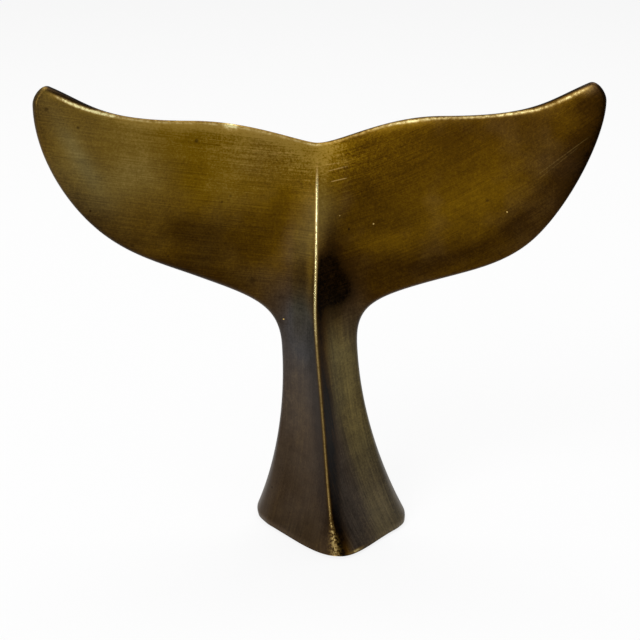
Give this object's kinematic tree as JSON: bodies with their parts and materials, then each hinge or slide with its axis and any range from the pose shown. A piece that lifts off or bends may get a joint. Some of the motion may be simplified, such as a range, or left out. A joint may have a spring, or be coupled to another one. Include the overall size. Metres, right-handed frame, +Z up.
{
  "type": "whale tail sculpture",
  "caption": "Free-standing cast bronze whale tail with raised flukes on a flared stock, flat felt-covered foot.",
  "frame": {"origin": "under the middle of the foot, on the surface that the sculpture stands on", "axes": "+X towards the right fluke's tip, along the flukes' span; +Y towards the back; +Z up"},
  "size_m": [0.1656, 0.0619, 0.1393],
  "materials": {
    "bronze": "antique brown patina, brushed, with buffed edges",
    "plaster": "matt off-white casting plaster",
    "felt": "dark brown felt"
  },
  "bodies": {
    "root": {"tail_casting": "bronze", "ballast_fill": "plaster", "felt_pad": "felt"}
  },
  "joints": []
}
